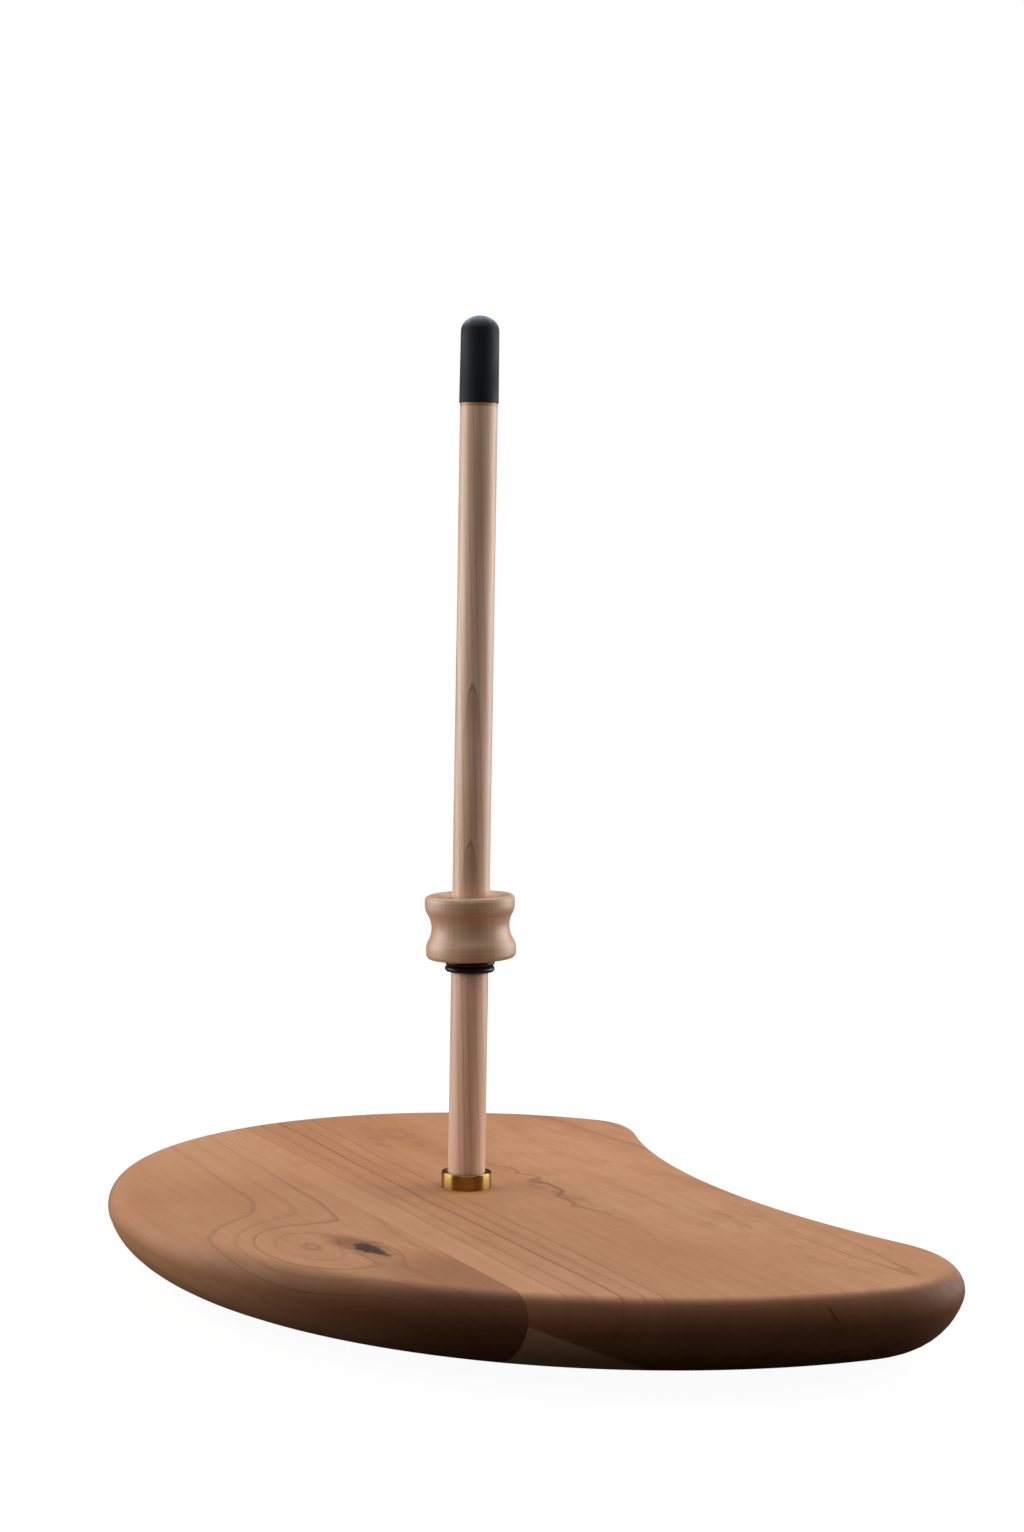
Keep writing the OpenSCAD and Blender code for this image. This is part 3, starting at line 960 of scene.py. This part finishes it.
def knot(wood, colour):
    """A ragged dark heart in a brown halo, turned a little off the grain."""
    tree = wood.tree
    turn = -10
    ragged = add(tree, "ShaderNodeTexNoise", {"Vector": wood.lying, "Scale": 160, "Detail": 3})
    shake = vector_calc(tree, "SUBTRACT", ragged.outputs["Color"], (0.5, 0.5, 0.5))
    shaken = vector_calc(tree, "ADD", wood.lying, scaled(tree, shake, 9 * MM))
    shaken = turned_place(tree, shaken, turn=(0, 0, turn))
    centre = Matrix.Rotation(math.radians(turn), 3, "Z") @ on_top(85.5, -83)
    halo = spot(tree, shaken, centre - Vector((8 * MM, 0, 0)), (24 * MM, 10 * MM, 50 * MM))
    heart = spot(tree, shaken, centre, (13.5 * MM, 4.3 * MM, 50 * MM))
    return layered(
        tree,
        colour,
        (fade(tree, halo, 0.2, 0.95, 0, 0.75), cherry_line),
        (fade(tree, heart, 0.32, 0.62, 0, 0.92), rgb(0.030, 0.022, 0.020)),
    )


def dark_front(wood, colour):
    """The plank darkens towards its front end beside the glue line, and is paler at its far end."""
    tree = wood.tree
    front = fade(tree, wood.along, 82 * MM, 125 * MM)
    beside_glue = fade(tree, wood.across, -112 * MM, -72 * MM)
    return layered(
        tree,
        colour,
        (times(tree, front, beside_glue, 0.72), cherry_deep),
        (fade(tree, wood.along, -10 * MM, -90 * MM, 0, 0.25), rgb(0.560, 0.315, 0.178)),
    )


narrow_cherry = cherry(
    "cherry_narrow_board", (0, 128 * MM, 52 * MM), -1.6, 7.0 * MM, 9 * MM, narrow_rings, (knot, dark_front)
)
print(narrow_cherry.name, len(narrow_cherry.node_tree.nodes), "nodes")

# %% [markdown]
# ## Maple
# The post is a straight-grained maple dowel: pale and faintly pink, with narrow rings that show as long
# lines on its sides and as pointed flames where they run out at the front. The spool is turned from the same
# wood, a little browner, and keeps fine lathe marks round it.

# %% Maple for the post and the spool
maple_light = rgb(0.740, 0.505, 0.365)
maple_warm = rgb(0.620, 0.385, 0.255)
maple_line = rgb(0.330, 0.170, 0.090)


def maple(name, tilt, pith, year, line_strength, own_marks):
    """Rings, fibre and patches in an upright grain; own_marks adds what only one piece has."""
    material, tree, shader, place = new_finish(name, maple_light, 0.45)
    upright = turned_place(tree, place, turn=(0, 90, 0))
    in_tree = turned_place(tree, upright, shift=pith, turn=(0, tilt, 0))
    rings = use_group(tree, rings_group, Place=in_tree, Year=year, Wave=1.6 * MM)
    fibre = use_group(tree, fibre_group, Place=in_tree, Fineness=1.6)
    colour = layered(
        tree,
        maple_warm,
        (fade(tree, grained(tree, upright, 11, 90, 3), 0.35, 0.65), maple_light),
        (times(tree, rings["Tone"], 0.25), maple_warm),
        (times(tree, rings["Line"], line_strength), maple_line),
        (fade(tree, fibre["Streak"], 0.36, 0.66, 0.20, 0), maple_warm),
        (times(tree, fibre["Fleck"], 0.30), maple_line),
    )
    colour, height = own_marks(tree, place, colour, fibre["Height"])
    surface(tree, shader, colour, fade(tree, fibre["Streak"], 0.3, 0.7, 0.46, 0.34), height, 0.25, 0.1 * MM)
    return material


def post_marks(tree, place, colour, height):
    """Two pointed brown flames on the front, and oil that gathered under the cap."""
    x, y, z = xyz(tree, place)
    aside = calc(tree, "ADD", x, 0.6 * MM)
    in_front = fade(tree, y, -3 * MM, -6 * MM)
    for tip_z in (251 * MM, 185 * MM):
        drop = calc(tree, "SUBTRACT", tip_z, z)
        inside = inside_arch(tree, drop, aside, 0.75 * MM)
        edge = fade(tree, calc(tree, "ABSOLUTE", inside), 0.2 * MM, 2.6 * MM, 0.75, 0)
        line = times(tree, edge, in_front, fade(tree, drop, 2 * MM, 19 * MM, 1, 0))
        heart = fade(tree, inside, 0, 4 * MM)
        heart = times(tree, heart, in_front, fade(tree, drop, 3 * MM, 28 * MM, 0.45, 0))
        colour = layered(tree, colour, (line, maple_line), (heart, maple_line))
    stain = fade(tree, z, shoulder_z - 1.9 * MM, shoulder_z - 1.0 * MM, 0, 0.85)
    return blend(tree, stain, colour, rgb(0.42, 0.17, 0.05)), height


def spool_marks(tree, place, colour, height):
    """A browner tone, and the fine marks that the lathe left round the spool."""
    colour = blend(tree, 0.8, colour, rgb(0.78, 0.73, 0.64), "MULTIPLY")
    marks = noise(tree, vector_calc(tree, "MULTIPLY", place, (30, 30, 2600)), 2)
    height = total(tree, times(tree, height, 0.4), times(tree, marks, 0.8))
    return blend(tree, fade(tree, marks, 0.4, 0.62, 0.16, 0), colour, maple_line), height


post_maple = maple("maple_post", 2.2, (0, 2.5 * MM, -14 * MM), 2.6 * MM, 0.5, post_marks)
spool_maple = maple("maple_spool", 3.0, (0, 8 * MM, -30 * MM), 3.2 * MM, 0.15, spool_marks)
print(post_maple.name, len(post_maple.node_tree.nodes), "nodes")

# %% [markdown]
# ## Brass, rubber and steel
# The brass keeps the fine marks that the lathe left round it, as a bump, and its tone drifts a little where
# it has been handled. They run round the ring, so what it mirrors is stretched up and down. The rubber is
# charcoal, with a fine moulded grain and a bloom of dust on what faces up, which on the cap's dome is also a
# painted sheen. The steel of the hidden screws and washers is zinc plated and mottled.


# %% Brass
def brass():
    clean, handled, grimy = rgb(0.42, 0.26, 0.075), rgb(0.36, 0.21, 0.055), rgb(0.22, 0.10, 0.02)
    material, tree, shader, place = new_finish(
        "turned_brass", clean, 0.3, Metallic=1.0, Anisotropic=0.9, Anisotropic_Rotation=0.25
    )
    around = add(tree, "ShaderNodeTangent", direction_type="RADIAL", axis="Z")
    tree.links.new(around.outputs["Tangent"], shader.inputs["Tangent"])
    marks = noise(tree, vector_calc(tree, "MULTIPLY", place, (60, 60, 5200)), 3)
    drift = noise(tree, place, 3, scale=140)
    handling = (fade(tree, drift, 0.35, 0.7), handled)
    grime = (fade(tree, marks, 0.40, 0.60, 0.3, 0), grimy)
    colour = layered(tree, clean, handling, grime)
    surface(tree, shader, colour, fade(tree, drift, 0.3, 0.7, 0.26, 0.36), marks, 0.35, 0.05 * MM)
    return material


# %% Rubber
def rubber(name, dark, dust_and_sheen_tone, roughness):
    material, tree, shader, place = new_finish(name, rgb(*dark), roughness, Specular_IOR_Level=0.22)
    grit = noise(tree, place, 4, scale=5200)
    cloud = noise(tree, place, 3, scale=95)
    upward = xyz(tree, facing(tree))[2]
    # What faces up is lightened: dust, and on the cap also a painted sheen.
    dust_and_sheen = times(tree, fade(tree, upward, 0.15, 1.0), fade(tree, cloud, 0.35, 0.65, 0.25, 0.8))
    worn = rgb(*(1.35 * channel for channel in dark))
    colour = layered(tree, rgb(*dark), (fade(tree, grit, 0.35, 0.65), worn), (dust_and_sheen, rgb(*dust_and_sheen_tone)))
    spread = fade(tree, cloud, 0.3, 0.7, roughness - 0.05, roughness + 0.05)
    surface(tree, shader, colour, total(tree, spread, times(tree, dust_and_sheen, 0.1)), grit, 0.12, 0.08 * MM)
    return material


# %% Steel
def steel():
    material, tree, shader, place = new_finish("zinc_steel", rgb(0.58, 0.59, 0.60), 0.35, Metallic=1.0)
    mottle = noise(tree, place, 4, scale=900)
    colour = blend(tree, fade(tree, mottle, 0.35, 0.65), rgb(0.50, 0.51, 0.53), rgb(0.66, 0.66, 0.65))
    surface(tree, shader, colour, fade(tree, mottle, 0.3, 0.7, 0.28, 0.46), mottle, 0.1, 0.05 * MM)
    return material


turned_brass = brass()
# The cap's pale bluish tone on what faces up is dust and a painted sheen on its dome.
cap_rubber = rubber("cap_rubber", (0.009, 0.011, 0.013), (0.36, 0.47, 0.53), 0.66)
ring_rubber = rubber("ring_rubber", (0.006, 0.006, 0.007), (0.02, 0.02, 0.02), 0.32)
foot_rubber = rubber("foot_rubber", (0.016, 0.016, 0.017), (0.04, 0.04, 0.04), 0.55)
zinc_steel = steel()
print(len(bpy.data.materials), "materials so far")

# %% [markdown]
# ## Give every piece its finish and its body
# A new piece stands for a frame node, rides on the body that carries it, and takes its finish. The table
# also lists the slot of the record that each finish belongs to, which is not used here. The frame's own
# post, screws and washers stay, with the new finishes.

# %% Assign and ride
PIECES = (
    (board_left, narrow_cherry, "stand", "cherry", "base_board_left"),
    (board_right, wide_cherry, "stand", "cherry", "base_board_right"),
    (spool, spool_maple, "roll_spool", "maple", "spool"),
    (cap, cap_rubber, "stand", "rubber", "post_cap"),
    (collar, turned_brass, "stand", "brass", "post_collar"),
    (ring_lower, ring_rubber, "lower_ring", "rubber", "stop_ring_lower"),
    (ring_upper, ring_rubber, "upper_ring", "rubber", "stop_ring_upper"),
    *((pad, foot_rubber, "stand", "rubber", pad.name.replace("_pad", "")) for pad in pads),
)
for piece, finish, body, slot_name, stands_for in PIECES:
    piece.data.materials.clear()
    piece.data.materials.append(finish)
    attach(piece, body)
    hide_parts(stands_for)
print(len(PIECES), "new pieces")

# %% Finishes of the frame's own pieces
for name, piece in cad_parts.items():
    kept_finish = None
    if name == "post":
        kept_finish = post_maple
    elif "screw" in name or "washer" in name:
        kept_finish = zinc_steel
    if kept_finish:
        print(name, "stays, in", kept_finish.name)
        for material_slot in piece.material_slots:
            material_slot.material = kept_finish

# %% [markdown]
# ## The studio
# A plain pale floor fades into a white room. Soft lamps stand behind, over and on either side of the holder.
# Only a weak one lights it from the camera's side, so the post and the brass are dark down their middle and
# bright at both sides, and the board's front edge falls into shade. Only the camera sees the floor and
# the room as white; the holder itself sees them dim.

# %% Floor
floor_r, fade_from, fade_to = 1.9, 0.5, 1.5
put_down_tools()
bpy.ops.mesh.primitive_circle_add(vertices=96, radius=floor_r, fill_type="NGON")
floor = named("floor")
floor_finish = bpy.data.materials.new("pale_floor")
floor_finish.use_nodes = True
tree = floor_finish.node_tree
tree.nodes.clear()
seen = add(tree, "ShaderNodeLightPath").outputs["Is Camera Ray"]
pale = add(tree, "ShaderNodeEmission", {"Color": rgb(1.0, 1.0, 1.0), "Strength": 1.08})
lit = add(tree, "ShaderNodeBsdfDiffuse", {"Color": rgb(0.8, 0.8, 0.8)})
dim = add(tree, "ShaderNodeBsdfDiffuse", {"Color": rgb(0.09, 0.085, 0.08)})
shown = add(tree, "ShaderNodeMixShader", {0: 0.12, 1: pale.outputs[0], 2: lit.outputs[0]})
both = add(tree, "ShaderNodeMixShader", {0: seen, 1: dim.outputs[0], 2: shown.outputs[0]})
clear = add(tree, "ShaderNodeBsdfTransparent")
where = add(tree, "ShaderNodeTexCoord").outputs["Object"]
out_there = fade(tree, vector_calc(tree, "LENGTH", where, output="Value"), fade_from, fade_to)
faded = add(tree, "ShaderNodeMixShader", {0: out_there, 1: both.outputs[0], 2: clear.outputs[0]})
add(tree, "ShaderNodeOutputMaterial", {"Surface": faded.outputs[0]})
floor.data.materials.append(floor_finish)
print("floor of radius", floor_r)

# %% Room
room_dim, room_bright = 0.055, 1.0
world = bpy.data.worlds.new("room")
bpy.context.scene.world = world
world.use_nodes = True
tree = world.node_tree
tree.nodes.clear()
seen = add(tree, "ShaderNodeLightPath").outputs["Is Camera Ray"]
strength = fade(tree, seen, 0, 1, room_dim, room_bright)
room = add(tree, "ShaderNodeBackground", {"Color": rgb(1.0, 1.0, 1.0), "Strength": strength})
add(tree, "ShaderNodeOutputWorld", {"Surface": room.outputs[0]})
print("room", room_dim, "for the holder and", room_bright, "for the camera")


# %% Lamps
def lamp(name, at, aim_z, width, height, power):
    """A soft rectangular lamp at a place, aimed at the post's axis at a height."""
    light = bpy.data.lights.new(name, "AREA")
    light.shape = "RECTANGLE"
    light.size, light.size_y = width, height
    light.energy = power
    made = bpy.data.objects.new(name, light)
    bpy.context.scene.collection.objects.link(made)
    made.location = at
    made.rotation_euler = (Vector((0, 0, aim_z)) - Vector(at)).to_track_quat("-Z", "Y").to_euler()
    made.visible_camera = False
    print(name, power, "W")


lamp("lamp_behind", (0.0, 1.15, 1.45), 0.1, 2.4, 0.8, 20.5)
lamp("lamp_over", (0.0, 0.05, 1.6), 0.1, 1.2, 0.8, 4.5)
lamp("lamp_front", (0.0, -1.5, 1.5), 0.2, 2.0, 1.0, 7)
lamp("lamp_left", (-1.25, 0.16, 0.45), 0.25, 1.2, 1.0, 18)
lamp("lamp_right", (1.16, 0.42, 0.45), 0.25, 1.1, 1.0, 18)
